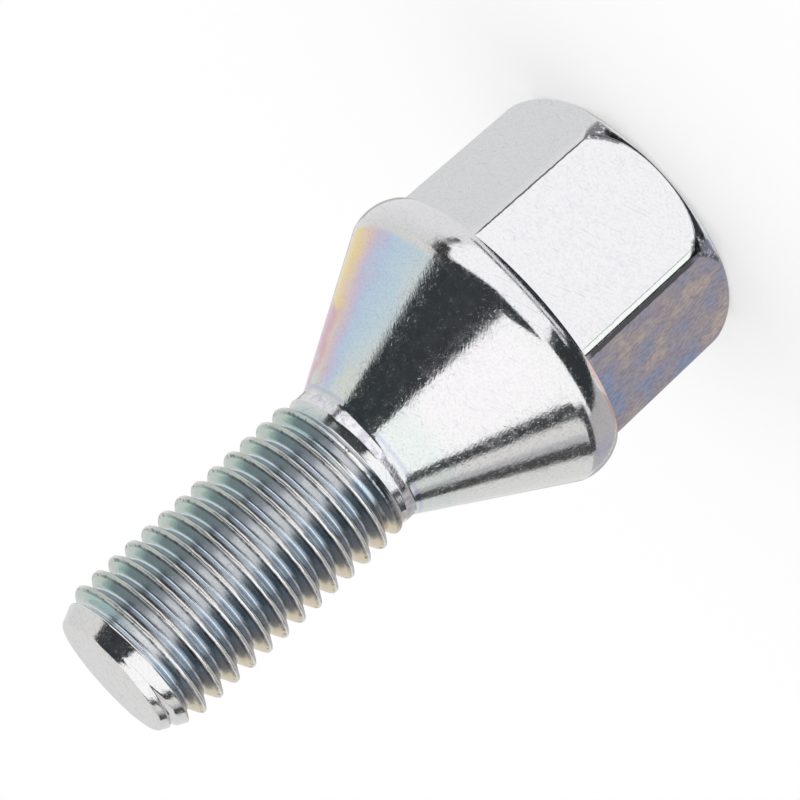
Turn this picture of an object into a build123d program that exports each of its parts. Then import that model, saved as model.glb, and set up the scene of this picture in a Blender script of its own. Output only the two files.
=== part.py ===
from build123d import *
import math
import os

# Lug bolt with a conical seat: one forging with a rolled thread, in millimetres.
# The bolt stands on the flat of its head. Z runs up its axis, from the head to the tip.
# A flat of the hexagon faces -Y, and two of its corners lie on the X axis.
# The threaded length is drawn at its major diameter, M12 x 1.5, without the groove.

# hexagon head
across_flats = 18.75       # beside the collar, for a 19 mm socket
head_height = 13.0         # from the flat top of the head to the collar
forging_draft = 0.75       # degrees that each flat leans in towards the head's top
corner_round = 0.3         # radius along the six long edges
top_corner_width = 3.4     # rounding of the head's top, measured in from the hexagon's corners
top_corner_height = 2.05   # the same rounding, measured down from the head's top

# collar between the hexagon and the seat
crown_overhang = 0.94      # how far the collar's crown stands out past the hexagon's corners
back_overhang = 0.5        # the same for the collar's edge beside the hexagon
collar_height = 2.64       # from that edge to the wide end of the seat
back_edge_round = 0.35     # radius of that edge
flat_bite = 0.12           # how deep the hollow sweep at the hexagon's foot runs out in the flats
foot_height = 0.85         # height of that sweep

# conical seat and the plain neck beside it
seat_angle = 60.0          # included angle
seat_step = 0.17           # how far the seat's wide end stays inside the crown
seat_edge_round = 0.35     # radius between the seat and the crown
neck_radius = 5.5
neck_length = 0.8          # plain length between the seat and the thread
neck_fillet = 0.6          # hollow corner between the neck and the seat

# rolled thread
major_radius = 5.87
thread_length = 21.88      # from the neck to the tip, with the rising crests and the chamfer
crest_rise = 1.5           # length over which the crests rise out of the neck

# tip
tip_radius = 4.72          # flat end face
tip_chamfer = 26.0         # degrees between the chamfer and the axis
tip_edge_round = 0.3       # radius between the end face and the chamfer

# sizes that follow
corner_radius = across_flats / 2 / math.cos(math.radians(30))
crown_radius = corner_radius + crown_overhang
back_radius = corner_radius + back_overhang
seat_wide_radius = crown_radius - seat_step
foot_radius = across_flats / 2 - flat_bite
foot_sweep = back_radius - foot_radius
seat_height = (seat_wide_radius - neck_radius) / math.tan(math.radians(seat_angle / 2))
chamfer_height = (major_radius - tip_radius) / math.tan(math.radians(tip_chamfer))

# heights above the flat of the head
seat_wide_z = head_height + collar_height
crown_z = (head_height + seat_wide_z) / 2
seat_small_z = seat_wide_z + seat_height
neck_end_z = seat_small_z + neck_length
full_crest_z = neck_end_z + crest_rise
tip_z = neck_end_z + thread_length
chamfer_z = tip_z - chamfer_height


def turned(lines):
    """Solid of revolution about Z of a closed half outline, drawn as radius and height."""
    return revolve(Plane.XZ * make_face(lines), Axis.Z)


def ring_edge(solid, radius, height):
    """The circular edge of a turned solid nearest to a radius and a height."""
    circles = solid.edges().filter_by(GeomType.CIRCLE)
    return min(circles, key=lambda ring: math.hypot(ring.radius - radius, ring.center().Z - height))


def hexagon():
    """Six flats with draft and rounded edges, narrowest at the head's top."""
    draft_loss = 2 * head_height * math.tan(math.radians(forging_draft))
    sections = []
    for height, flats in ((0, across_flats - draft_loss), (head_height, across_flats)):
        outline = RegularPolygon(flats / 2, 6, major_radius=False)
        sections.append(Pos(0, 0, height) * fillet(outline.vertices(), corner_round))
    return loft(sections)


def top_rounding():
    """Turned envelope that rounds the hexagon's corners down to the flat of the head."""
    flat_radius = corner_radius - top_corner_width
    rounding = EllipticalCenterArc(
        (flat_radius, top_corner_height), top_corner_width, top_corner_height, 270, arc_size=90
    )
    walls = Polyline(
        (corner_radius, top_corner_height),
        (corner_radius, head_height),
        (0, head_height),
        (0, 0),
        (flat_radius, 0),
    )
    return turned(rounding + walls)


def turned_body():
    """Crowned collar, conical seat, neck and shank, with the hollow sweep at the hexagon's foot."""
    sweep = EllipticalCenterArc(
        (back_radius, head_height - foot_height), foot_sweep, foot_height, 90, arc_size=90
    )
    crown = ThreePointArc(
        (back_radius, head_height), (crown_radius, crown_z), (seat_wide_radius, seat_wide_z)
    )
    shank = Polyline(
        (seat_wide_radius, seat_wide_z),
        (neck_radius, seat_small_z),
        (neck_radius, neck_end_z),
        (major_radius, full_crest_z),
        (major_radius, chamfer_z),
        (tip_radius, tip_z),
        (0, tip_z),
        (0, head_height - foot_height),
        (foot_radius, head_height - foot_height),
    )
    body = turned(sweep + crown + shank)
    body = fillet(ring_edge(body, back_radius, head_height), back_edge_round)
    body = fillet(ring_edge(body, seat_wide_radius, seat_wide_z), seat_edge_round)
    body = fillet(ring_edge(body, neck_radius, seat_small_z), neck_fillet)
    return fillet(ring_edge(body, tip_radius, tip_z), tip_edge_round)


head = hexagon() & top_rounding()
lug_bolt = head + turned_body()
print("length", round(tip_z, 2), "thread from", round(full_crest_z, 3), "to", round(chamfer_z, 3))
print("solids", len(lug_bolt.solids()), "valid", lug_bolt.is_valid, "volume", round(lug_bolt.volume))

os.makedirs("parts", exist_ok=True)
export_step(lug_bolt, "parts/lug_bolt.step")
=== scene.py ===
import math

import bmesh
import bpy
from mathutils import Matrix, Vector, noise


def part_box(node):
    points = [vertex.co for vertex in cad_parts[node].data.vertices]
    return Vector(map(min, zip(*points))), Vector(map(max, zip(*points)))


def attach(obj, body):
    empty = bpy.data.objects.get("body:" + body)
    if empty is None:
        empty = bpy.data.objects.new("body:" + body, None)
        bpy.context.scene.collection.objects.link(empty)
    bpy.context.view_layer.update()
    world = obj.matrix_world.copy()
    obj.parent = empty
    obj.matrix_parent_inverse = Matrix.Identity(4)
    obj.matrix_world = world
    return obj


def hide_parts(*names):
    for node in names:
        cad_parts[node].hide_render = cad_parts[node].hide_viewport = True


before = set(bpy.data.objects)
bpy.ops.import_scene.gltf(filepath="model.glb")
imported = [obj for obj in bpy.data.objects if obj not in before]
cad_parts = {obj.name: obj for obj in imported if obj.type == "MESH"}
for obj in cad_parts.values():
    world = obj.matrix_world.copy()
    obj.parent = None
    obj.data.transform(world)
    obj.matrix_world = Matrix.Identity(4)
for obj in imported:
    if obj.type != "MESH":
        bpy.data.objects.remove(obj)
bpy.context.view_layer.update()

mm = 0.001
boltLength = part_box("lug_bolt")[1][2] / mm
print("frame loaded, bolt length", round(boltLength, 3), "mm")

# Shapes are made in millimetres with the head's flat at height 0, then scaled to metres.
headSizes = {
    "columns": 180,            # steps around the axis
    "sectors": 12,             # parts of a turn that are spun apart, because one long spin is far slower
    "cornerCrowding": 0.8,     # how far the columns gather at the hexagon's corners, 0 to 1
    "acrossFlats": 18.75,
    "headHeight": 13.0,
    "forgingDraft": 0.75,      # degrees
    "cornerRound": 0.3,
    "crispRound": 0.2,         # the same at one crisper corner
    "crispAngle": -120.0,      # degrees from +X to that corner
    "topWidth": 2.05,          # rounding of the head's top, in from the corners
    "topHeight": 3.3,
    "topEase": 0.12,           # softness of the edge where that rounding meets a flat
    "topLean": (0.07, 0.42),   # how far the rounding lies off the axis, in X and Y
    "footEase": 0.03,          # softness where the hollow sweep runs out in a flat
    "crownOverhang": 0.94,
    "backOverhang": 0.5,
    "collarHeight": 2.64,
    "backRound": 0.1,
    "flatBite": 0.12,
    "footHeight": 0.85,        # height of the hollow sweep at the hexagon's foot
    "seatStep": 0.17,
    "seatRound": 0.35,
    "seatAngle": 60.0,         # degrees, included
    "neckRadius": 5.5,
    "neckLength": 0.8,
    "neckFillet": 0.6,
}
threadSizes = {
    "pitch": 1.5,
    "flankAngle": 60.0,        # degrees, included
    "majorRadius": 5.87,
    "rootRadius": 4.95,
    "crestWidth": 0.19,
    "crestEase": 0.1,
    "rootEase": 0.22,
    "length": 21.88,           # from the neck to the tip
    "runout": 2.1,             # length over which the groove rises to the neck
    "crestRise": 1.5,          # length over which the crest sinks to the neck
    "crestAngle": -8.4,        # degrees at which the crest leaves the end of the neck
    "tipRadius": 4.72,
    "tipChamfer": 26.0,        # degrees to the axis
    "tipRound": 0.3,
    "capDepth": 0.35,          # length of the tip made apart from the helix
    "tipEase": 0.08,           # softness where the crests meet the chamfer
    "neckEase": (0.001, 0.101),    # softness at the end of the neck, and from there on
    "neckEaseLength": 0.6,     # length over which it grows
    "unevenness": 0.035,       # how far the rolled crests wander
    "crestWear": 0.4,          # share of that by which they are lower all round
    "wander": [(1.3, 0.6), (3.1, 0.4)],    # waves of it in each millimetre, and the share of each
    "wanderAlong": 1.7,        # the same for its part along the axis
}
mergeGap = 1e-4                # points nearer than this are one
seamGap = 1e-3                 # the same where the thread meets the head and the tip
lengthSlack = 0.05             # how far the sizes may be from the frame's length


def easeStep(value, low, high):
    t = min(max((value - low) / (high - low), 0.0), 1.0)
    return t * t * (3.0 - 2.0 * t)


def softMin(a, b, width):  # the lower of two heights, with their corner rounded off
    overlap = max(width - abs(a - b), 0.0) / width
    return min(a, b) - overlap * overlap * width / 4.0


def softMax(a, b, width):
    return -softMin(-a, -b, width)


def arcPoints(centre, reach, start, end, steps):
    points = []
    for step in range(steps + 1):
        angle = math.radians(start + (end - start) * step / steps)
        points.append((centre[0] + reach[0] * math.cos(angle), centre[1] + reach[1] * math.sin(angle)))
    return points


def linePoints(start, end, steps):
    return [tuple(a + (b - a) * step / steps for a, b in zip(start, end)) for step in range(steps + 1)]


def bulgePoints(start, end, reach, steps):  # a circular arc that passes through reach at its middle height
    half = math.dist(start, end) / 2
    bulge = (reach - (start[0] + end[0]) / 2) * abs(end[1] - start[1]) / (2 * half)
    radius = (half * half + bulge * bulge) / (2 * bulge)
    along = math.atan2(end[1] - start[1], end[0] - start[0])
    inward = along + math.pi / 2
    centre = (
        (start[0] + end[0]) / 2 + (radius - bulge) * math.cos(inward),
        (start[1] + end[1]) / 2 + (radius - bulge) * math.sin(inward),
    )
    spread = math.degrees(math.asin(half / radius))
    facing = math.degrees(inward) - 180
    return arcPoints(centre, (radius, radius), facing - spread, facing + spread, steps)


def walkBack(points, reach):  # the point that lies reach back from the end, and what comes before it
    kept = list(points)
    while math.dist(kept[-1], kept[-2]) < reach:
        reach -= math.dist(kept[-1], kept[-2])
        kept.pop()
    share = reach / math.dist(kept[-1], kept[-2])
    last = tuple(a + (b - a) * share for a, b in zip(kept[-1], kept[-2]))
    return kept[:-1], last


def roundJoin(before, after, radius, steps):  # joins two outlines that meet at a corner
    corner = before[-1]
    into = math.atan2(corner[1] - before[-2][1], corner[0] - before[-2][0])
    out = math.atan2(after[1][1] - corner[1], after[1][0] - corner[0])
    reach = radius * math.tan(abs((out - into + math.pi) % math.tau - math.pi) / 2)
    first, start = walkBack(before, reach)
    second, end = walkBack(after[::-1], reach)
    joined = []
    for step in range(steps + 1):
        t = step / steps
        ends = zip(start, corner, end)
        joined.append(tuple((1 - t)**2 * a + 2 * t * (1 - t) * b + t * t * c for a, b, c in ends))
    return first + joined + second[::-1]


def spinOutline(bm, points, columns, climb=0.0):  # radius and height pairs, turned once about Z
    sectors = headSizes["sectors"]
    sectorTurn = Matrix.Rotation(math.tau / sectors, 3, "Z")
    sector = bpy.data.meshes.new("sector")
    piece = bmesh.new()
    verts = [piece.verts.new((radius, 0.0, height)) for radius, height in points]
    edges = [piece.edges.new(pair) for pair in zip(verts, verts[1:])]
    bmesh.ops.spin(
        piece, geom=verts + edges, cent=(0, 0, 0), axis=(0, 0, 1), dvec=(0, 0, climb / columns),
        angle=math.tau / sectors, steps=columns // sectors, use_merge=False, use_duplicate=False,
    )
    for turn in range(sectors):
        piece.to_mesh(sector)
        bm.from_mesh(sector)
        bmesh.ops.rotate(piece, verts=piece.verts[:], cent=(0, 0, 0), matrix=sectorTurn)
        bmesh.ops.translate(piece, verts=piece.verts[:], vec=(0, 0, climb / sectors))
    piece.free()
    bpy.data.meshes.remove(sector)
    bmesh.ops.remove_doubles(bm, verts=bm.verts[:], dist=mergeGap)


# radii and heights that follow from the sizes
cornerRadius = headSizes["acrossFlats"] / 2 / math.cos(math.radians(30))
crownRadius = cornerRadius + headSizes["crownOverhang"]
backRadius = cornerRadius + headSizes["backOverhang"]
seatWideRadius = crownRadius - headSizes["seatStep"]
footRadius = headSizes["acrossFlats"] / 2 - headSizes["flatBite"]
footSweep = backRadius - footRadius
headHeight = headSizes["headHeight"]
footStartZ = headHeight - headSizes["footHeight"]
seatWideZ = headHeight + headSizes["collarHeight"]
neckRadius = headSizes["neckRadius"]
seatSmallZ = seatWideZ + (seatWideRadius - neckRadius) / math.tan(math.radians(headSizes["seatAngle"] / 2))
neckEndZ = seatSmallZ + headSizes["neckLength"]
majorRadius = threadSizes["majorRadius"]
rootRadius = threadSizes["rootRadius"]
tipZ = neckEndZ + threadSizes["length"]
capZ = tipZ - threadSizes["capDepth"]
if abs(tipZ - boltLength) > lengthSlack:
    raise ValueError("the sizes give another length than the frame")


def tipEnvelope(z):
    return threadSizes["tipRadius"] + (tipZ - z) * math.tan(math.radians(threadSizes["tipChamfer"]))


def headOutline():
    flatRadius = cornerRadius - headSizes["topWidth"]
    topHeight = headSizes["topHeight"]
    points = linePoints((0.0, 0.0), (flatRadius, 0.0), steps=6)
    points += arcPoints((flatRadius, topHeight), (headSizes["topWidth"], topHeight), 270, 360, steps=40)[1:]
    points += linePoints((cornerRadius, topHeight), (cornerRadius, footStartZ), steps=8)[1:]
    sweep = arcPoints((backRadius, footStartZ), (footSweep, headSizes["footHeight"]), 180, 90, steps=30)[1:]
    crown = bulgePoints((backRadius, headHeight), (seatWideRadius, seatWideZ), crownRadius, steps=16)
    seat = linePoints((seatWideRadius, seatWideZ), (neckRadius, seatSmallZ), steps=24)
    neck = linePoints((neckRadius, seatSmallZ), (neckRadius, neckEndZ), steps=6)
    collar = roundJoin(sweep, crown, headSizes["backRound"], steps=6)
    collar = roundJoin(collar, seat, headSizes["seatRound"], steps=2)
    return points + roundJoin(collar, neck, headSizes["neckFillet"], steps=6)


def hexRadius(angle, apothem):  # a hexagon with rounded corners, two of them on the X axis
    sixth = math.radians(60)
    fromCrisp = abs((angle - math.radians(headSizes["crispAngle"]) + math.pi) % math.tau - math.pi)
    corner = headSizes["crispRound" if fromCrisp < sixth / 2 else "cornerRound"]
    fromFlat = abs(angle % sixth - sixth / 2)
    if math.tan(fromFlat) * apothem < (apothem - corner) * math.tan(sixth / 2):
        return apothem / math.cos(fromFlat)
    centre = (apothem - corner) / math.cos(sixth / 2)
    away = sixth / 2 - fromFlat
    return centre * math.cos(away) + math.sqrt(corner**2 - (centre * math.sin(away)) ** 2)


def shapeHexagon(bm):  # gathers the columns at the corners and draws the turned head in to its flats
    crowding = headSizes["cornerCrowding"] / 6
    draft = math.tan(math.radians(headSizes["forgingDraft"]))
    for vert in bm.verts:
        radius = math.hypot(vert.co.x, vert.co.y)
        z = vert.co.z
        if radius < mergeGap:
            continue
        angle = math.atan2(vert.co.y, vert.co.x)
        angle -= crowding * math.sin(6 * angle) * (1 - easeStep(z, headHeight, seatSmallZ))
        flats = hexRadius(angle, headSizes["acrossFlats"] / 2 - (headHeight - z) * draft)
        if z < headSizes["topHeight"]:
            lean = headSizes["topLean"][0] * math.cos(angle) + headSizes["topLean"][1] * math.sin(angle)
            lean *= (1 - (z / headSizes["topHeight"]) ** 2) * radius / cornerRadius
            radius = softMin(radius + lean, flats, headSizes["topEase"])
        elif z < footStartZ + seamGap:
            radius = flats
        elif z < headHeight and radius < backRadius:
            radius = softMax(radius, flats, headSizes["footEase"])
        vert.co.x = radius * math.cos(angle)
        vert.co.y = radius * math.sin(angle)


def threadOutline():  # one pitch, as distances from the crest, over the whole length
    pitch = threadSizes["pitch"]
    slope = math.tan(math.radians(threadSizes["flankAngle"] / 2))
    # closest together where the profile bends
    fromCrest = [0.0, 0.035, 0.07, 0.105, 0.15, 0.22, 0.31, 0.41, 0.51, 0.58, 0.64, 0.7]
    shares = [-step for step in fromCrest[:0:-1]] + fromCrest + [pitch / 2]
    first = neckEndZ - threadSizes["crestAngle"] / 360 * pitch
    spare = 2          # turns past each end, which fadeThread flattens
    turns = math.ceil(threadSizes["length"] / pitch) + spare
    apex = majorRadius + threadSizes["crestWidth"] / 2 / slope
    points = []
    for turn in range(-spare, turns):
        for share in shares:
            flank = apex - abs(share) / slope
            radius = softMin(majorRadius, flank, threadSizes["crestEase"])
            radius = softMax(radius, rootRadius, threadSizes["rootEase"])
            points.append((radius, first + turn * pitch + share))
    return points


def fadeThread(bm):  # run-out at the neck, chamfer at the tip, and flat ends to both
    runoutSlope = (neckRadius - rootRadius) / threadSizes["runout"]
    riseSlope = (majorRadius - neckRadius) / threadSizes["crestRise"]
    leastEase, mostEase = threadSizes["neckEase"]
    for vert in bm.verts:
        z = min(max(vert.co.z, neckEndZ), capZ)
        radius = math.hypot(vert.co.x, vert.co.y)
        fromNeck = z - neckEndZ
        ease = leastEase + (mostEase - leastEase) * easeStep(fromNeck, 0.0, threadSizes["neckEaseLength"])
        radius = softMin(radius, neckRadius + fromNeck * riseSlope, ease)
        radius = softMax(radius, neckRadius - fromNeck * runoutSlope, ease)
        radius = softMin(radius, tipEnvelope(z), threadSizes["tipEase"])
        if z == neckEndZ:
            radius = neckRadius
        if z == capZ:
            radius = tipEnvelope(z)
        angle = math.atan2(vert.co.y, vert.co.x)
        if neckEndZ < z < capZ:
            crest = easeStep(radius, neckRadius, majorRadius) * threadSizes["unevenness"]
            wander = sum(noise.noise(vert.co * waves) * share for waves, share in threadSizes["wander"])
            radius -= crest * (threadSizes["crestWear"] - wander)
            shift = noise.noise(vert.co * threadSizes["wanderAlong"] + Vector((9, 0, 0)))
            z = min(max(z + crest * shift, neckEndZ), capZ)
        vert.co = (radius * math.cos(angle), radius * math.sin(angle), z)
    bmesh.ops.remove_doubles(bm, verts=bm.verts[:], dist=mergeGap)


def tipOutline():
    cone = linePoints((tipEnvelope(capZ), capZ), (threadSizes["tipRadius"], tipZ), steps=3)
    face = linePoints((threadSizes["tipRadius"], tipZ), (0.0, tipZ), steps=12)
    return roundJoin(cone, face, threadSizes["tipRound"], steps=6)


def makeBolt():
    columns = headSizes["columns"]
    whole = bpy.data.meshes.new("forgedBolt")
    bm = bmesh.new()
    spinOutline(bm, threadOutline(), columns, climb=threadSizes["pitch"])
    fadeThread(bm)
    thread = bpy.data.meshes.new("threadPart")
    bm.to_mesh(thread)
    bm.clear()
    spinOutline(bm, headOutline(), columns)
    shapeHexagon(bm)
    spinOutline(bm, tipOutline(), columns)
    bm.from_mesh(thread)
    bmesh.ops.remove_doubles(bm, verts=bm.verts[:], dist=seamGap)
    bmesh.ops.recalc_face_normals(bm, faces=bm.faces[:])
    for face in bm.faces:
        face.smooth = True
    openEdges = [edge for edge in bm.edges if len(edge.link_faces) != 2]
    print("bolt mesh:", len(bm.verts), "points,", sum(len(face.verts) - 2 for face in bm.faces),
          "triangles, open edges", len(openEdges), "volume", round(bm.calc_volume(), 1), "mm3")
    bmesh.ops.scale(bm, vec=(mm, mm, mm), verts=bm.verts[:])
    bm.to_mesh(whole)
    bm.free()
    bolt = bpy.data.objects.new("forgedBolt", whole)
    bpy.context.scene.collection.objects.link(bolt)
    return bolt


# The finish: bright zinc with its rainbow passivation, brushed and specked, with painted highlights and
# painted shade on the head and the thread. In the stops, each colour follows its place, in degrees around
# the axis from the near flat towards +X.
zincFinish = {
    "plain": (0.83, 0.826, 0.83),
    "coneStops": [
        (-160, (0.81, 0.81, 0.8)), (-100, (0.82, 0.8, 0.76)), (-60, (0.84, 0.83, 0.835)),
        (4, (0.85, 0.835, 0.845)), (30, (0.76, 0.81, 0.83)), (42, (0.64, 0.79, 0.89)),
        (53, (0.6, 0.74, 0.93)), (62, (0.74, 0.65, 0.82)), (70, (0.88, 0.7, 0.62)), (79, (1.0, 0.76, 0.3)),
        (93, (0.93, 0.8, 0.56)), (116, (0.8, 0.82, 0.84)), (150, (0.81, 0.81, 0.8)),
    ],
    "coneRose": (0.76, 0.46, 0.58),         # in place of the yellow, towards the neck
    "conePale": (0.76, 0.81, 0.79),
    "mottle": [                             # share of its noise, then colour
        (0.34, (0.42, 0.53, 0.76)), (0.43, (0.5, 0.53, 0.67)), (0.5, (0.56, 0.53, 0.61)),
        (0.58, (0.61, 0.56, 0.59)), (0.68, (0.77, 0.68, 0.61)),
    ],
    "mottleRubbed": ((0.82, 0.82, 0.83), (1.08, 1.08, 1.08)),    # shades that its rubbed grain goes between
    "mottleBehind": 0.3,                    # how strong the patches are on the faces behind
    "headShade": (0.765, 0.77, 0.76),       # painted shade: plain plate drawn darker on the faces towards +X
    # painted highlights and painted shade around the thread, with the film's gold, teal and blue tints
    "flankLightAndFilm": [
        (-160, (0.72, 0.71, 0.68)), (-100, (0.82, 0.7, 0.52)), (-74, (0.78, 0.66, 0.46)),
        (-62, (0.44, 0.42, 0.38)), (-45, (0.34, 0.39, 0.43)), (-22, (0.66, 0.8, 0.9)),
        (-7, (0.95, 0.97, 0.96)), (6, (1.0, 1.0, 0.98)), (18, (0.66, 0.73, 0.76)), (34, (0.5, 0.66, 0.68)),
        (56, (0.48, 0.66, 0.64)), (74, (0.6, 0.69, 0.64)), (110, (0.68, 0.72, 0.69)),
        (150, (0.72, 0.71, 0.68)),
    ],
    "headwardFlankShade": (0.38, 0.37, 0.385),   # painted shade on the side of the thread that faces the head
    "headwardGleam": (0.62, 0.64, 0.66),    # the same painted shade, lighter nearest to the near flat
    "headwardShadeBlue": (0.52, 0.56, 0.6),      # the same painted shade, bluer further towards -X
    # painted highlight along the thread's roots
    "root": (0.74, 0.82, 0.93),
    # painted highlight on the crests, dimmer on the side towards +X
    "crest": (0.88, 0.88, 0.87),
    "crestGleamDim": (0.6, 0.61, 0.58),
    "neck": (0.68, 0.67, 0.72),
    "neckBright": (0.86, 0.85, 0.88),
    "seatLine": (0.66, 0.68, 0.8),          # lilac film where the cone meets the neck
    "crownFilm": (0.66, 0.69, 0.86),        # and on the collar's crown
    "copper": (0.85, 0.64, 0.56),           # film along the collar's back edge
    "endFleck": (0.68, 0.65, 0.62),         # flecks on the end face
    "edgeGleam": (0.86, 0.9, 0.85),              # painted highlight: a strip along one edge of the near flat
    # near black: painted shade on the near flat's edges and corners and beside the crests, and soot in the
    # nicks
    "sootAndShade": (0.13, 0.13, 0.14),
    "sootAndShadeShares": {"shadeHairline": 0.7, "corner": 0.85, "crestShade": 0.6, "nick": 0.8},
    "speckShade": (0.925, 0.925, 0.94),     # specks and scratches multiply the colour by these
    "scratchShade": (0.82, 0.82, 0.84),
    "scratches": [(0.3, 11.0), (-0.25, 17.0)],    # twist of each set, and where its noise starts
    "polish": 0.09,                         # roughness of the bright parts
    "wornPolish": 0.18,
    "scuffPolish": 0.14,                    # what a scuff adds to it
    "headScuffs": 0.4,                      # how strong the scuffs are on the head
    "threadPolish": 0.26,
    "bumps": {"fine": 0.0022, "waves": 0.006, "brushed": 0.006, "pits": -0.004},    # heights
}
nearFlat = {
    "crispEdgeX": -5.37,        # where the lines along its two edges are measured from, at the head's top
    "otherEdgeX": 5.3,
    "edgeWander": 0.12,
    "middleX": -0.55,           # halfway between its two corners with painted shade
}
# Where each mark lies, in millimetres, in degrees around or as a part of the normal. Two values are
# where it starts and where it is full. Three are its low end, its high end and the softness of both.
markPlaces = {
    # where one part's finish gives way to the next, up the bolt
    "headZ": (headHeight, headHeight - 0.8),
    "coneStartZ": (seatWideZ + 0.26, seatWideZ + 0.66),
    "coneEndZ": (seatSmallZ + 1.0, seatSmallZ + 0.2),
    "threadStartZ": (neckEndZ, neckEndZ + 1.2),
    "threadEndZ": (tipZ - 1.48, tipZ - 2.08),
    "endFaceZ": (capZ, tipZ - 0.05),
    # the neck, the collar and the cone
    "neckZ": (seatSmallZ + 0.15, neckEndZ - 0.1, 0.15),
    "seatLineZ": (seatSmallZ - 0.35, seatSmallZ - 0.2, 0.08),
    "copperZ": (headHeight, headHeight + 0.25, 0.1),
    "copperAround": (-115, -34, 10),
    "crownZ": (headHeight + 0.6, seatWideZ - 0.44, 0.4),
    "crownAround": (-112, -70, 14),
    "roseZ": (seatSmallZ - 4.8, seatSmallZ - 1.2, 1.6),
    "roseAround": (78, 94, 10),
    "paleBesideZ": (seatSmallZ - 3.7, seatSmallZ - 1.7),
    "paleAllRoundZ": (seatSmallZ - 2.0, seatSmallZ),
    "paleBefore": (56, 44),
    "paleAfter": (112, 128),
    # the head's faces with their painted shade, and lines of painted highlight and shade measured outwards
    # from the near flat's edges
    "mottleAround": (-88, -33, 5),
    "mottleBehindRight": (100, 125),
    "mottleBehindLeft": (-100, -112),
    "headSides": (-0.9, -0.6),
    "headShadeAround": (36, 125, 5),
    "nearFlatY": (-7.0, -7.5),
    "nearFlatZ": (2.0, 3.0),
    "edgeGleamStrip": (-0.4, 0.0, 0.02),
    "crispShadeLine": (-0.41, -0.39, 0.03),
    "edgeShadeStrip": (0.06, 0.36, 0.04),
    "otherShadeLine": (0.0, 0.07, 0.04),
    "cornerShadeTilt": (-0.62, -0.14, 0.1),
    "cornerShadeAcross": (4.2, 6.0, 0.4),
    "cornerShadeY": (-6.0, -6.6),
    # the thread, with its painted highlights and painted shade
    "headwardTilt": (-0.25, -0.6),
    "headwardAround": (-100, 60, 16),
    "gleamAround": (-8, 10, 12),
    "blueAround": (-14, -30),
    "rootRadius": (rootRadius + 0.04, rootRadius),
    "crestGleamRadius": (majorRadius - 0.1, majorRadius - 0.04),
    "dimGleamAround": (20, 60, 18),
    "crestShadeRadius": (majorRadius - 0.27, majorRadius - 0.15, 0.05),
    "crestShadeAround": (-60, 60, 20),
    "nickRadius": (majorRadius - 0.25, majorRadius - 0.11, 0.05),
}


def addNode(tree, kind, inputs, **settings):
    node = tree.nodes.new("ShaderNode" + kind)
    for name, value in settings.items():
        setattr(node, name, value)
    for name, value in inputs.items():
        if isinstance(value, bpy.types.NodeSocket):
            tree.links.new(value, node.inputs[name])
        else:
            node.inputs[name].default_value = value
    return node


def calc(tree, operation, first, *others):  # takes any number of values in turn, or works on one
    for other in others or [0.0]:
        first = addNode(tree, "Math", {0: first, 1: other}, operation=operation).outputs[0]
    return first


def rise(tree, value, low, high, bottom=0.0, top=1.0):  # a smooth step, with low above high for a fall
    if low > high:
        low, high, bottom, top = high, low, top, bottom
    return addNode(tree, "MapRange", {"Value": value, "From Min": low, "From Max": high, "To Min": bottom,
                                      "To Max": top}, interpolation_type="SMOOTHSTEP").outputs[0]


def between(tree, value, low, high, soft):  # 1 from low to high, and 0 beyond both
    return calc(tree, "MULTIPLY", rise(tree, value, low - soft, low), rise(tree, value, high + soft, high))


def inPlace(tree, value, name):  # 1 where the value is in the mark's place
    place = markPlaces[name]
    return rise(tree, value, *place) if len(place) == 2 else between(tree, value, *place)


def mixColour(tree, share, first, second, way="MIX"):
    first, second = [(*c, 1) if isinstance(c, tuple) else c for c in (first, second)]
    return addNode(tree, "Mix", {"Factor": share, "A": first, "B": second}, data_type="RGBA",
                   blend_type=way).outputs["Result"]


def colourRamp(tree, value, stops):
    ramp = addNode(tree, "ValToRGB", {0: value})
    elements = ramp.color_ramp.elements
    while len(elements) < len(stops):
        elements.new(0.5)
    for element, (place, colour) in zip(elements, stops):
        element.position = place
        element.color = (*colour, 1)
    return ramp.outputs["Color"]


def aroundRamp(tree, degrees, stops):
    low, high = stops[0][0], stops[-1][0]
    share = addNode(tree, "MapRange", {"Value": degrees, "From Min": low, "From Max": high}).outputs[0]
    return colourRamp(tree, share, [((stop - low) / (high - low), colour) for stop, colour in stops])


def grain(tree, vector, scale, detail=2.0, offset=0.0):  # noise from 0 to 1
    moved = addNode(tree, "Mapping", {"Vector": vector, "Location": (offset, offset / 2, 0)}).outputs[0]
    return addNode(tree, "TexNoise", {"Vector": moved, "Scale": scale, "Detail": detail}).outputs[0]


def spots(tree, at, scale, detail, offset, low, high):  # noise drawn apart, to 0 below low and 1 above high
    return rise(tree, grain(tree, at["point"], scale, detail, offset), low, high)


def waver(tree, at, scale, detail, reach):  # noise to both sides of 0, for a value that wanders
    centred = calc(tree, "SUBTRACT", grain(tree, at["point"], scale, detail), 0.5)
    return calc(tree, "MULTIPLY", centred, reach)


def strokes(tree, at, twist, across, along, offset=0.0):  # noise drawn out along helices
    angle = calc(tree, "MULTIPLY", at["z"], twist)
    inputs = {"Vector": at["point"], "Angle": angle}
    turned = addNode(tree, "VectorRotate", inputs, rotation_type="Z_AXIS").outputs[0]
    inputs = {0: turned, 1: (across, across, along)}
    drawn = addNode(tree, "VectorMath", inputs, operation="MULTIPLY").outputs[0]
    return grain(tree, drawn, scale=1.0, offset=offset)


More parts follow.
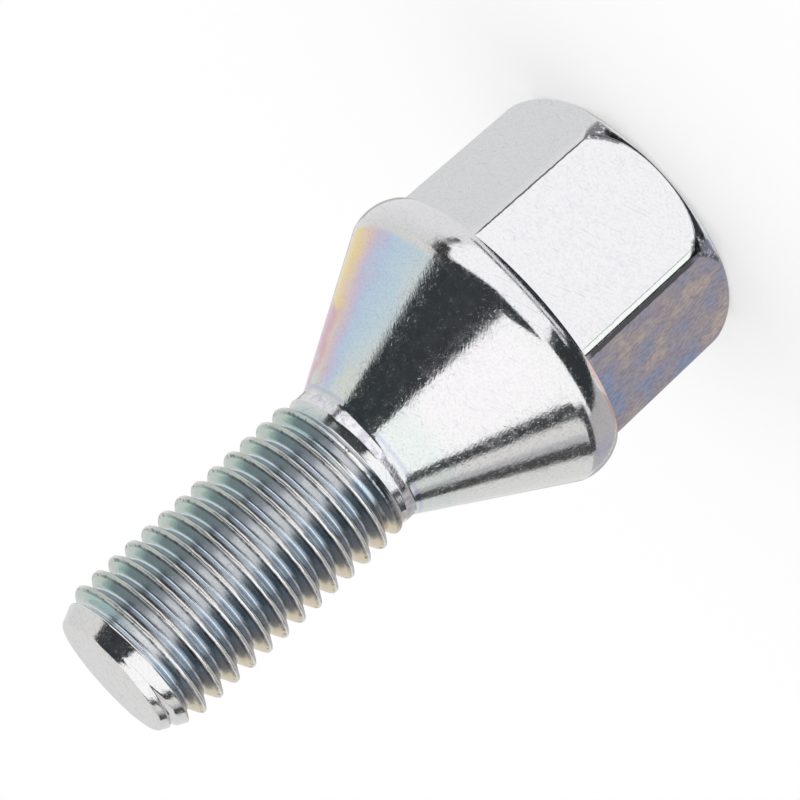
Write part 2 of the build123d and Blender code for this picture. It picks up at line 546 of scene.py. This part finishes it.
def boltPlace(tree):  # where on the bolt the shaded point lies
    coordinates = addNode(tree, "TexCoord", {}).outputs["Object"]
    point = addNode(tree, "Mapping", {"Vector": coordinates, "Scale": (1 / mm, 1 / mm, 1 / mm)}).outputs[0]
    x, y, z = addNode(tree, "SeparateXYZ", {0: point}).outputs
    turn = calc(tree, "ARCTAN2", x, calc(tree, "MULTIPLY", y, -1.0))
    flat = addNode(tree, "VectorMath", {0: point, 1: (1, 1, 0)}, operation="MULTIPLY").outputs[0]
    return {
        "point": point, "x": x, "y": y, "z": z,
        "facing": addNode(tree, "SeparateXYZ", {0: coordinates.node.outputs["Normal"]}).outputs["Z"],
        "around": calc(tree, "DEGREES", turn),
        "radius": addNode(tree, "VectorMath", {0: flat}, operation="LENGTH").outputs["Value"],
    }


def coneTint(tree, at):  # bands of film, rose in place of yellow towards the neck, and pale beside it
    degrees = calc(tree, "ADD", at["around"], waver(tree, at, scale=0.5, detail=4.0, reach=22.0))
    film = aroundRamp(tree, degrees, zincFinish["coneStops"])
    uneven = grain(tree, at["point"], scale=0.45, detail=4.0, offset=37.0)
    uneven = rise(tree, uneven, 0.3, 0.7, bottom=-1.8, top=1.8)
    height = calc(tree, "ADD", at["z"], uneven)
    rose = calc(tree, "MULTIPLY", inPlace(tree, height, "roseZ"), inPlace(tree, degrees, "roseAround"))
    film = mixColour(tree, rose, film, zincFinish["coneRose"])
    beside = calc(tree, "MAXIMUM", inPlace(tree, degrees, "paleBefore"),
                  inPlace(tree, degrees, "paleAfter"))
    pale = calc(tree, "MULTIPLY", inPlace(tree, at["z"], "paleBesideZ"), beside)
    pale = calc(tree, "MAXIMUM", pale, inPlace(tree, height, "paleAllRoundZ"))
    return mixColour(tree, pale, film, zincFinish["conePale"])


def mottleAndShadedFaces(tree, at):  # brown, mauve and blue patches on the face towards -X, fainter further round, and painted shade on the faces towards +X
    spread = grain(tree, at["point"], scale=0.38, detail=3.0, offset=3.0)
    patches = colourRamp(tree, spread, zincFinish["mottle"])
    rubbed = strokes(tree, at, twist=0.0, across=5.5, along=2.2, offset=33.0)
    rubbed = rise(tree, rubbed, low=0.35, high=0.6)
    rubbed = mixColour(tree, rubbed, *zincFinish["mottleRubbed"])
    patches = mixColour(tree, 1.0, patches, rubbed, "MULTIPLY")
    behind = [inPlace(tree, at["around"], name) for name in ("mottleBehindRight", "mottleBehindLeft")]
    behind = calc(tree, "MULTIPLY", calc(tree, "ADD", *behind), zincFinish["mottleBehind"])
    sides = inPlace(tree, at["facing"], "headSides")
    share = calc(tree, "ADD", inPlace(tree, at["around"], "mottleAround"), behind)
    # painted shade on the faces towards +X
    shaded = calc(tree, "MULTIPLY", sides, inPlace(tree, at["around"], "headShadeAround"))
    plain = mixColour(tree, shaded, zincFinish["plain"], zincFinish["headShade"])
    return mixColour(tree, calc(tree, "MULTIPLY", share, sides), plain, patches)


def flatEdgeGleamAndShade(tree, at, colour):  # a strip of painted highlight and lines of painted shade along the near flat's edges
    draft = math.tan(math.radians(headSizes["forgingDraft"])) * math.tan(math.pi / 6)
    lean = calc(tree, "MULTIPLY", at["z"], draft)          # the draft leans the edges outwards
    wander = calc(tree, "MULTIPLY", grain(tree, at["point"], scale=2.5, detail=4.0, offset=6.0),
                  nearFlat["edgeWander"])
    beside = calc(tree, "MULTIPLY", inPlace(tree, at["y"], "nearFlatY"),
                  inPlace(tree, at["z"], "nearFlatZ"))
    past = calc(tree, "SUBTRACT", calc(tree, "SUBTRACT", wander, at["x"]),
                calc(tree, "ADD", lean, -nearFlat["crispEdgeX"]))
    # painted highlight along the crisp edge
    edgeGleam = calc(tree, "MULTIPLY", inPlace(tree, past, "edgeGleamStrip"), beside)
    colour = mixColour(tree, edgeGleam, colour, zincFinish["edgeGleam"])
    # painted shade: dark lines along both edges of the near flat
    shadeHairline = calc(tree, "MULTIPLY", inPlace(tree, past, "crispShadeLine"), beside,
                    zincFinish["sootAndShadeShares"]["shadeHairline"])
    shadeStrip = calc(tree, "MULTIPLY", inPlace(tree, past, "edgeShadeStrip"), beside)
    colour = mixColour(tree, calc(tree, "MAXIMUM", shadeHairline, shadeStrip), colour, zincFinish["sootAndShade"])
    past = calc(tree, "SUBTRACT", calc(tree, "ADD", at["x"], wander),
                calc(tree, "ADD", lean, nearFlat["otherEdgeX"]))
    shadeHairline = calc(tree, "MULTIPLY", inPlace(tree, past, "otherShadeLine"), beside)
    return mixColour(tree, shadeHairline, colour, zincFinish["sootAndShade"])


def flatCornerShade(tree, at, colour):  # painted shade, in patches, where the top rounding meets the near flat's corners
    fromMiddle = calc(tree, "ABSOLUTE", calc(tree, "SUBTRACT", at["x"], nearFlat["middleX"]))
    corner = calc(tree, "MULTIPLY", inPlace(tree, at["facing"], "cornerShadeTilt"),
                  inPlace(tree, fromMiddle, "cornerShadeAcross"), inPlace(tree, at["y"], "cornerShadeY"))
    shadePatches = spots(tree, at, scale=2.8, detail=5.0, offset=27.0, low=0.36, high=0.48)
    share = calc(tree, "MULTIPLY", corner, shadePatches, zincFinish["sootAndShadeShares"]["corner"])
    return mixColour(tree, share, colour, zincFinish["sootAndShade"])


def threadFilmAndShading(tree, at):
    # film colours, with painted highlights and painted shade on the flanks, roots and crests
    degrees = calc(tree, "ADD", at["around"], waver(tree, at, scale=1.2, detail=3.0, reach=18.0))
    colour = aroundRamp(tree, degrees, zincFinish["flankLightAndFilm"])
    shadedFlank = mixColour(tree, inPlace(tree, at["around"], "gleamAround"), zincFinish["headwardFlankShade"],
                         zincFinish["headwardGleam"])
    shadedFlank = mixColour(tree, inPlace(tree, at["around"], "blueAround"), shadedFlank,
                         zincFinish["headwardShadeBlue"])
    facing = calc(tree, "MULTIPLY", inPlace(tree, at["facing"], "headwardTilt"),
                  inPlace(tree, at["around"], "headwardAround"))
    colour = mixColour(tree, facing, colour, shadedFlank)
    # painted highlight along the roots
    colour = mixColour(tree, inPlace(tree, at["radius"], "rootRadius"), colour, zincFinish["root"])
    # painted shade: dark lines beside the crests on the near side
    crestShade = calc(tree, "MULTIPLY", inPlace(tree, at["radius"], "crestShadeRadius"),
                  inPlace(tree, at["around"], "crestShadeAround"), zincFinish["sootAndShadeShares"]["crestShade"])
    colour = mixColour(tree, crestShade, colour, zincFinish["sootAndShade"])
    # painted highlight on the crests
    crest = mixColour(tree, inPlace(tree, at["around"], "dimGleamAround"), zincFinish["crest"],
                      zincFinish["crestGleamDim"])
    colour = mixColour(tree, inPlace(tree, at["radius"], "crestGleamRadius"), colour, crest)
    nicks = spots(tree, at, scale=2.6, detail=5.0, offset=14.0, low=0.53, high=0.6)
    nicks = calc(tree, "MULTIPLY", nicks, inPlace(tree, at["radius"], "nickRadius"),
                 zincFinish["sootAndShadeShares"]["nick"])
    return mixColour(tree, nicks, colour, zincFinish["sootAndShade"])


def neckAndCollarFilms(tree, at, colour):
    smudges = spots(tree, at, scale=1.8, detail=5.0, offset=23.0, low=0.42, high=0.56)
    smudged = mixColour(tree, smudges, zincFinish["neck"], zincFinish["neckBright"])
    colour = mixColour(tree, inPlace(tree, at["z"], "neckZ"), colour, smudged)
    colour = mixColour(tree, inPlace(tree, at["z"], "seatLineZ"), colour, zincFinish["seatLine"])
    back = calc(tree, "MULTIPLY", inPlace(tree, at["z"], "copperZ"),
                inPlace(tree, at["around"], "copperAround"))
    colour = mixColour(tree, back, colour, zincFinish["copper"])
    patchy = spots(tree, at, scale=0.7, detail=4.0, offset=45.0, low=0.35, high=0.6)
    crown = calc(tree, "MULTIPLY", inPlace(tree, at["z"], "crownZ"),
                 inPlace(tree, at["around"], "crownAround"), patchy)
    return mixColour(tree, crown, colour, zincFinish["crownFilm"])


def specksAndScratches(tree, at):
    specks = spots(tree, at, scale=5.0, detail=3.0, offset=0.0, low=0.3, high=0.6)
    shade = mixColour(tree, specks, zincFinish["speckShade"], (1.0, 1.0, 1.0))
    marks = [strokes(tree, at, twist, across=4.0, along=0.8, offset=offset)
             for twist, offset in zincFinish["scratches"]]
    scratched = rise(tree, calc(tree, "MAXIMUM", *marks), low=0.645, high=0.72)
    return mixColour(tree, scratched, shade, zincFinish["scratchShade"])


def zincMaterial():
    material = bpy.data.materials.new("zincPlate")
    material.use_nodes = True
    tree = material.node_tree
    shader = tree.nodes["Principled BSDF"]
    shader.inputs["Metallic"].default_value = 1.0
    at = boltPlace(tree)
    onHead = inPlace(tree, at["z"], "headZ")
    onCone = calc(tree, "MULTIPLY", inPlace(tree, at["z"], "coneStartZ"),
                  inPlace(tree, at["z"], "coneEndZ"))
    onThread = calc(tree, "MULTIPLY", inPlace(tree, at["z"], "threadStartZ"),
                    inPlace(tree, at["z"], "threadEndZ"))

    headColour = flatCornerShade(tree, at, flatEdgeGleamAndShade(tree, at, mottleAndShadedFaces(tree, at)))
    colour = mixColour(tree, onHead, zincFinish["plain"], headColour)
    colour = mixColour(tree, onCone, colour, coneTint(tree, at))
    colour = mixColour(tree, onThread, colour, threadFilmAndShading(tree, at))
    flecks = spots(tree, at, scale=3.0, detail=5.0, offset=41.0, low=0.5, high=0.72)
    endFace = mixColour(tree, flecks, zincFinish["plain"], zincFinish["endFleck"])
    colour = mixColour(tree, inPlace(tree, at["z"], "endFaceZ"), colour, endFace)
    colour = neckAndCollarFilms(tree, at, colour)
    colour = mixColour(tree, 1.0, colour, specksAndScratches(tree, at), "MULTIPLY")
    tree.links.new(colour, shader.inputs["Base Color"])

    wear = grain(tree, at["point"], scale=1.6, detail=4.0, offset=5.0)
    roughness = rise(tree, wear, 0.35, 0.75, bottom=zincFinish["polish"], top=zincFinish["wornPolish"])
    scuffs = grain(tree, at["point"], scale=5.5, detail=5.0, offset=31.0)
    scuffs = rise(tree, scuffs, 0.55, 0.7, top=zincFinish["scuffPolish"])
    fewer = rise(tree, onHead, 0.0, 1.0, bottom=1.0, top=zincFinish["headScuffs"])
    scuffs = calc(tree, "MULTIPLY", scuffs, fewer)
    roughness = calc(tree, "ADD", roughness, scuffs)
    roughness = addNode(tree, "Mix", {"Factor": onThread, "A": roughness, "B": zincFinish["threadPolish"]})
    tree.links.new(roughness.outputs["Result"], shader.inputs["Roughness"])

    bumps = zincFinish["bumps"]
    fine = calc(tree, "MULTIPLY", grain(tree, at["point"], scale=6.0, offset=8.0), bumps["fine"])
    waves = calc(tree, "MULTIPLY", grain(tree, at["point"], scale=1.1, offset=2.0), bumps["waves"])
    brushed = strokes(tree, at, twist=0.1, across=5.0, along=0.7)
    brushed = calc(tree, "MULTIPLY", brushed, onCone, bumps["brushed"])
    pits = grain(tree, at["point"], scale=3.7, detail=3.0, offset=21.0)
    pits = rise(tree, pits, 0.62, 0.76, top=bumps["pits"])
    height = calc(tree, "ADD", fine, waves, brushed, pits)
    bump = addNode(tree, "Bump", {"Height": height, "Distance": mm})
    tree.links.new(bump.outputs[0], shader.inputs["Normal"])
    print("zinc material:", len(tree.nodes), "nodes")
    return material


cameraView = {
    "distance": 290.0,         # from the camera's plane to the axis point below
    "axisHeight": 18.411,      # height of the point on the bolt's axis that the two offsets are for
    "tilt": 15.22,             # degrees down from level
    "roll": 42.06,             # degrees between the picture's level and the bolt's axis
    "alongOffset": 3.102,      # how far that point lies from the lens's axis, towards the head
    "acrossOffset": 0.789,     # and across it
    "around": -1.03,           # degrees from square on to the near flat, about the bolt's axis
    "lens": 193.3,
    "sensor": 36.0,
    "clip": (10.0, 10000.0),   # nearest and furthest that it sees
}


def makeCamera():
    tilt = math.radians(cameraView["tilt"])
    roll = math.radians(cameraView["roll"])
    toHead = Vector((0.0, -math.sin(tilt), -math.cos(tilt)))
    across = Vector((-1.0, 0.0, 0.0))
    away = Vector((0.0, math.cos(tilt), -math.sin(tilt)))
    place = Vector((0.0, 0.0, cameraView["axisHeight"]))
    place -= toHead * cameraView["alongOffset"] + across * cameraView["acrossOffset"]
    place -= away * cameraView["distance"]
    right = toHead * math.cos(roll) + across * math.sin(roll)
    up = toHead * math.sin(roll) - across * math.cos(roll)
    camera = bpy.data.cameras.new("photoCamera")
    camera.lens = cameraView["lens"]
    camera.sensor_width = cameraView["sensor"]
    camera.clip_start, camera.clip_end = [reach * mm for reach in cameraView["clip"]]
    holder = bpy.data.objects.new("photoCamera", camera)
    turn = Matrix((right, up, -away)).transposed().to_4x4()
    around = Matrix.Rotation(math.radians(cameraView["around"]), 4, "Z")
    holder.matrix_world = around @ Matrix.Translation(place * mm) @ turn
    bpy.context.scene.collection.objects.link(holder)
    bpy.context.scene.camera = holder


# What the bright metal mirrors: softboxes and black flags on a sphere around the bolt, seen in it alone.
# Corners are azimuth and elevation in degrees. Azimuth 0 is the camera's side, and 90 is towards +X.
# Of two cards that overlap, the one with the smaller reach is seen.
flagBlack = (0.036, 0.041, 0.046)
studioCards = {
    "keySoftbox": {"reach": 600, "light": (1.12, 1.12, 1.12),
                   "corners": [(-80, -13), (-20, -13), (20, 62), (-80, 62)]},
    "lowSoftbox": {"reach": 600, "light": (1.1, 1.1, 1.12),
                   "corners": [(-28, -52), (60, -52), (60, 8), (-28, 0)]},
    "upperFlag": {"reach": 500, "light": flagBlack,
                  "corners": [(-3, 21), (72, 21), (69, 62), (11, 62)]},
    "wedgeFlag": {"reach": 500, "light": flagBlack,
                  "corners": [(-25, -6), (18, -3), (20, 21), (-3, 21)]},
    "slopeFlag": {"reach": 500, "light": flagBlack,
                  "corners": [(18, -3), (56, 13), (72, 21), (20, 21)]},
    "sideFlag": {"reach": 500, "light": (0.05, 0.05, 0.05),
                 "corners": [(58, -8), (70, -8), (72, 21), (56, 13)]},
    "edgeFlag": {"reach": 500, "light": (0.08, 0.08, 0.08),
                 "corners": [(62, -34), (68, -34), (68, -8), (62, -8)]},
    "lowerFlag": {"reach": 500, "light": flagBlack,
                  "corners": [(-90, -46), (-28, -46), (-30, -14), (-90, -12)]},
    "cornerFlag": {"reach": 500, "light": flagBlack,
                   "corners": [(-90, -63), (-50, -63), (-48, -46), (-90, -46)]},
    "leftFlag": {"reach": 500, "light": (0.05, 0.055, 0.06),
                 "corners": [(-91, 3), (-78, 3), (-79, 60), (-94, 60)]},
    "loopFlag": {"reach": 500, "light": (0.06, 0.06, 0.07),
                 "corners": [(-124, -5), (-78, -5), (-78, 5), (-124, 5)]},
    "farFlag": {"reach": 500, "light": (0.07, 0.07, 0.07),
                "corners": [(-127, 3), (-114, 3), (-114, 24), (-130, 24)]},
    "greyPanel": {"reach": 520, "light": (0.5, 0.5, 0.52),
                  "corners": [(-114, 3), (-106, 3), (-108, 60), (-117, 60)]},
    "backPanel": {"reach": 600, "light": (0.5, 0.5, 0.46),
                  "corners": [(155, -45), (205, -45), (205, -12), (155, -12)]},
    "dimPanel": {"reach": 550, "light": (0.5, 0.48, 0.49),
                 "corners": [(-152, -46), (-90, -46), (-90, 3), (-152, -3)]},
    "footLine": {"reach": 500, "light": flagBlack,
                 "corners": [(-75, -56), (75, -56), (75, -52), (-75, -52)]},
    "footFlag": {"reach": 500, "light": flagBlack,
                 "corners": [(-180, -90), (180, -90), (180, -63), (-180, -63)]},
}
cardCuts = 23                        # how finely a card is cut, so that it bends onto its sphere
tentLight = [                        # what the metal mirrors where no card stands, from below to above
    (0.3, (0.86, 0.86, 0.88)),
    (0.6, (0.75, 0.76, 0.75)),
    (0.9, (0.84, 0.82, 0.78)),
]
floorHalf = 1500                     # half the floor's width
floorDrop = 0.02                     # clear of the flat that stands on it
floorGlow = 0.5                      # share of the floor's white that the bolt can't shade


def directionPoint(azimuth, elevation, reach):
    a, e = math.radians(azimuth), math.radians(elevation)
    return Vector((math.cos(e) * math.sin(a), -math.cos(e) * math.cos(a), math.sin(e))) * reach


def makeCard(name, corners, reach, light):  # drawn flat in azimuth and elevation, then bent
    bm = bmesh.new()
    bm.faces.new([bm.verts.new((*corner, 0)) for corner in corners])
    bmesh.ops.subdivide_edges(bm, edges=bm.edges[:], cuts=cardCuts, use_grid_fill=True)
    for vert in bm.verts:
        vert.co = directionPoint(vert.co.x, vert.co.y, reach * mm)
    bmesh.ops.translate(bm, verts=bm.verts[:], vec=(0, 0, boltLength / 2 * mm))
    mesh = bpy.data.meshes.new(name)
    bm.to_mesh(mesh)
    bm.free()
    material = bpy.data.materials.new(name)
    material.use_nodes = True
    nodes = material.node_tree.nodes
    nodes.remove(nodes["Principled BSDF"])
    glow = nodes.new("ShaderNodeEmission")
    glow.inputs["Color"].default_value = (*light, 1)
    material.node_tree.links.new(glow.outputs[0], nodes["Material Output"].inputs["Surface"])
    mesh.materials.append(material)
    card = bpy.data.objects.new(name, mesh)
    bpy.context.scene.collection.objects.link(card)
    card.visible_camera = card.visible_diffuse = card.visible_shadow = False


def makeWorld():
    world = bpy.data.worlds.new("studio")
    bpy.context.scene.world = world
    world.use_nodes = True
    nodes, links = world.node_tree.nodes, world.node_tree.links
    direction = nodes.new("ShaderNodeTexCoord")
    height = nodes.new("ShaderNodeSeparateXYZ")
    links.new(direction.outputs["Generated"], height.inputs[0])
    toShare = nodes.new("ShaderNodeMapRange")
    toShare.inputs["From Min"].default_value = -1.0
    links.new(height.outputs["Z"], toShare.inputs["Value"])
    tent = colourRamp(world.node_tree, toShare.outputs[0], tentLight)
    path = nodes.new("ShaderNodeLightPath")
    mirrored = nodes.new("ShaderNodeMix")
    mirrored.data_type = "RGBA"
    mirrored.inputs["A"].default_value = (1, 1, 1, 1)
    links.new(path.outputs["Is Glossy Ray"], mirrored.inputs["Factor"])
    links.new(tent, mirrored.inputs["B"])
    links.new(mirrored.outputs["Result"], nodes["Background"].inputs["Color"])


def makeFloor():
    bm = bmesh.new()
    bmesh.ops.create_grid(bm, x_segments=1, y_segments=1, size=floorHalf * mm)
    bmesh.ops.translate(bm, verts=bm.verts[:], vec=(0, 0, -floorDrop * mm))
    mesh = bpy.data.meshes.new("floor")
    bm.to_mesh(mesh)
    bm.free()
    floor = bpy.data.objects.new("floor", mesh)
    bpy.context.scene.collection.objects.link(floor)
    floor.visible_glossy = False
    material = bpy.data.materials.new("floor")
    material.use_nodes = True
    nodes, links = material.node_tree.nodes, material.node_tree.links
    shader = nodes["Principled BSDF"]
    shader.inputs["Base Color"].default_value = (1, 1, 1, 1)
    shader.inputs["Roughness"].default_value = 1.0
    shader.inputs["Specular IOR Level"].default_value = 0.0
    glow = nodes.new("ShaderNodeEmission")
    mixed = nodes.new("ShaderNodeMixShader")
    share = nodes.new("ShaderNodeMath")
    share.operation = "MULTIPLY"
    share.inputs[1].default_value = floorGlow
    links.new(nodes.new("ShaderNodeLightPath").outputs["Is Camera Ray"], share.inputs[0])
    links.new(share.outputs[0], mixed.inputs[0])
    links.new(shader.outputs[0], mixed.inputs[1])
    links.new(glow.outputs[0], mixed.inputs[2])
    links.new(mixed.outputs[0], nodes["Material Output"].inputs["Surface"])
    floor.data.materials.append(material)


def makeStudio():
    makeWorld()
    makeFloor()
    for name, card in studioCards.items():
        makeCard(name, **card)
    print("studio:", len(studioCards), "cards")


makeCamera()
makeStudio()
bolt = makeBolt()
bolt.data.materials.append(zincMaterial())
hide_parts("lug_bolt")
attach(bolt, "root")

bpy.context.scene.view_settings.view_transform = "Standard"
